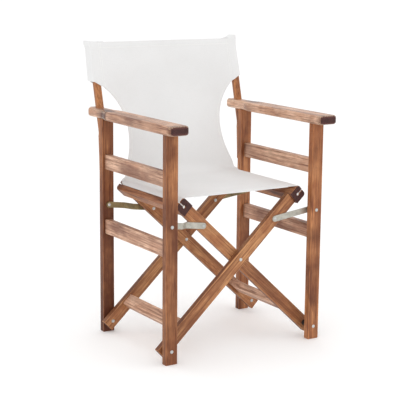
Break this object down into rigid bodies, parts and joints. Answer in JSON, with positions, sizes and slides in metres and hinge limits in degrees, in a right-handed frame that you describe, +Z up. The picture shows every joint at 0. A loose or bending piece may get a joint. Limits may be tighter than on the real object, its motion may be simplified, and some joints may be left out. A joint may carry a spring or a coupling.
{
  "type": "folding chair",
  "caption": "Folding armchair: upright wooden side frames, crossed legs under the seat, steel link bars, and one canvas sling that makes the seat and the back.",
  "frame": {"origin": "centre of the bounding box's footprint, on the floor", "axes": "+X to the sitter's left, +Y towards the back of the chair, +Z up"},
  "size_m": [0.57, 0.54, 0.885],
  "materials": {
    "stained_wood": "brown stain and satin varnish, grain showing",
    "arm_wood": "brown stain and satin varnish, dark end grain",
    "dark_wood": "dark brown stain and satin varnish",
    "dowel_wood": "bare",
    "canvas": "plain weave, off-white",
    "zinc_bolt": "bright zinc",
    "zinc_bar": "dull zinc",
    "black_plastic": "matt",
    "white_plastic": "matt"
  },
  "bodies": {
    "left_frame": {"left_front_leg": "stained_wood", "left_rear_leg": "stained_wood", "left_upper_slat": "stained_wood", "left_lower_slat": "stained_wood", "left_armrest": "arm_wood", "left_back_post": "stained_wood", "left_frame_dowels": "dowel_wood", "left_arm_dowels": "dowel_wood", "left_post_screws": "zinc_bolt", "left_sleeve": "canvas", "left_foot_bolts": "zinc_bolt", "left_foot_nuts": "zinc_bolt", "left_foot_spacers": "black_plastic", "left_link_bolts": "zinc_bolt", "left_link_spacers": "black_plastic", "back_canvas": "canvas"},
    "cross_a": {"front_outer_leg": "stained_wood", "rear_outer_leg": "stained_wood", "left_stretcher": "stained_wood", "right_seat_rail": "dark_wood", "right_hem_rod": "white_plastic", "right_hem": "canvas", "outer_dowels": "dowel_wood", "centre_bolts": "zinc_bolt", "centre_nuts": "zinc_bolt", "centre_washers": "zinc_bolt", "outer_link_bolts": "zinc_bolt"},
    "cross_b": {"front_inner_leg": "stained_wood", "rear_inner_leg": "stained_wood", "right_stretcher": "stained_wood", "left_seat_rail": "dark_wood", "left_hem_rod": "white_plastic", "left_hem": "canvas", "inner_dowels": "dowel_wood", "inner_link_bolts": "zinc_bolt", "seat_canvas": "canvas"},
    "right_frame": {"right_front_leg": "stained_wood", "right_rear_leg": "stained_wood", "right_upper_slat": "stained_wood", "right_lower_slat": "stained_wood", "right_armrest": "arm_wood", "right_back_post": "stained_wood", "right_frame_dowels": "dowel_wood", "right_arm_dowels": "dowel_wood", "right_post_screws": "zinc_bolt", "right_sleeve": "canvas", "right_foot_bolts": "zinc_bolt", "right_foot_nuts": "zinc_bolt", "right_foot_spacers": "black_plastic", "right_link_bolts": "zinc_bolt", "right_link_spacers": "black_plastic"},
    "left_links": {"left_front_link": "zinc_bar", "left_rear_link": "zinc_bar", "left_link_rivets": "zinc_bolt"},
    "right_links": {"right_front_link": "zinc_bar", "right_rear_link": "zinc_bar", "right_link_rivets": "zinc_bolt"}
  },
  "joints": [
    {"name": "fold", "type": "hinge", "parent": "left_frame", "child": "cross_a", "pos_m": [-0.2505, -0.023, 0.0395], "axis": [0, -1, 0], "range_deg": [0, 31.5], "deforming": ["back_canvas"]},
    {"name": "cross", "type": "hinge", "parent": "cross_a", "child": "cross_b", "pos_m": [0, -0.023, 0.273], "axis": [0, -1, 0], "range_deg": [-63.1, 0], "deforming": ["seat_canvas"]},
    {"name": "right_foot", "type": "hinge", "parent": "cross_b", "child": "right_frame", "pos_m": [0.2505, -0.023, 0.0395], "axis": [0, -1, 0], "range_deg": [0, 31.6]},
    {"name": "left_link_turn", "type": "hinge", "parent": "left_frame", "child": "left_links", "pos_m": [-0.2505, -0.023, 0.4015], "axis": [0, -1, 0], "range_deg": [0, 76.56]},
    {"name": "right_link_turn", "type": "hinge", "parent": "right_frame", "child": "right_links", "pos_m": [0.2505, -0.023, 0.4015], "axis": [0, -1, 0], "range_deg": [-76.56, 0]}
  ],
  "couplings": [
    {"joint": "cross", "follows": "fold", "ratio": -2},
    {"joint": "right_foot", "follows": "fold", "ratio": 1},
    {"joint": "left_link_turn", "follows": "fold", "ratio": 2.4272},
    {"joint": "right_link_turn", "follows": "fold", "ratio": -2.4272}
  ]
}
